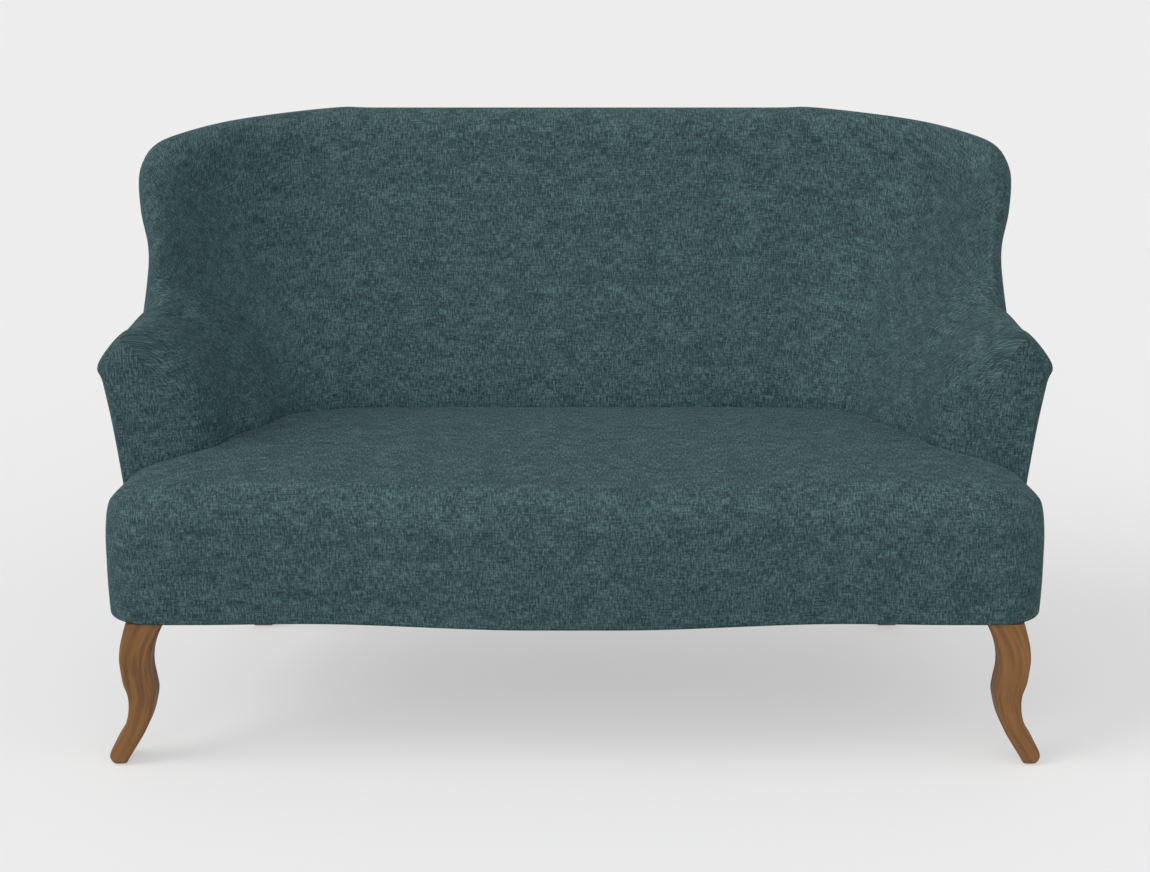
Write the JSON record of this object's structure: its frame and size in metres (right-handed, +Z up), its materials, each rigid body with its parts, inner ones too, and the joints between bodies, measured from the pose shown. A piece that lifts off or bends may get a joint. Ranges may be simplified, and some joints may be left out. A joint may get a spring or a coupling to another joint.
{
  "type": "high back settee",
  "caption": "Upholstered high back settee with a bowed tight seat, short rolled arms, low wrap-round wings and sawn cabriole front legs",
  "frame": {"origin": "Bottom centre of the bounding box, on the floor between the four feet", "axes": "+Z is up and the front of the seat faces -Y. +X is the settee's right side in a front view, and the long way across the seat."},
  "size_m": [1.589, 0.7924, 0.9907],
  "materials": {
    "cover_fabric": "matt woven teal green cloth with darker slubs",
    "dust_lining": "matt black lining cloth",
    "foam": null,
    "beech_frame": "sanded and unfinished",
    "webbing": "elastic webbing",
    "platform_cloth": "coarse plain cloth",
    "leg_wood": "mid brown satin lacquer",
    "steel": "zinc plated"
  },
  "bodies": {
    "root": {"seat_cover": "cover_fabric", "inside_back_cover": "cover_fabric", "outside_back_cover": "cover_fabric", "left_inside_arm_cover": "cover_fabric", "right_inside_arm_cover": "cover_fabric", "left_outside_arm_cover": "cover_fabric", "right_outside_arm_cover": "cover_fabric", "left_arm_front_panel": "cover_fabric", "right_arm_front_panel": "cover_fabric", "dust_cover": "dust_lining", "seat_foam": "foam", "back_padding": "foam", "left_arm_padding": "foam", "right_arm_padding": "foam", "front_seat_rail": "beech_frame", "rear_seat_rail": "beech_frame", "left_seat_rail": "beech_frame", "right_seat_rail": "beech_frame", "corner_blocks": "beech_frame", "seat_brace": "beech_frame", "left_arm_post": "beech_frame", "right_arm_post": "beech_frame", "left_arm_rail": "beech_frame", "right_arm_rail": "beech_frame", "left_arm_tacking_rail": "beech_frame", "right_arm_tacking_rail": "beech_frame", "left_wing_frame": "beech_frame", "right_wing_frame": "beech_frame", "top_back_rail": "beech_frame", "left_back_post": "beech_frame", "right_back_post": "beech_frame", "centre_back_stile": "beech_frame", "lower_back_rail": "beech_frame", "seat_webbing": "webbing", "seat_cross_webbing": "webbing", "back_webbing": "webbing", "seat_platform_cloth": "platform_cloth", "back_platform_cloth": "platform_cloth", "front_left_leg": "leg_wood", "front_right_leg": "leg_wood", "rear_left_leg": "leg_wood", "rear_right_leg": "leg_wood", "leg_bolts": "steel", "foot_glides": "steel"}
  },
  "joints": []
}
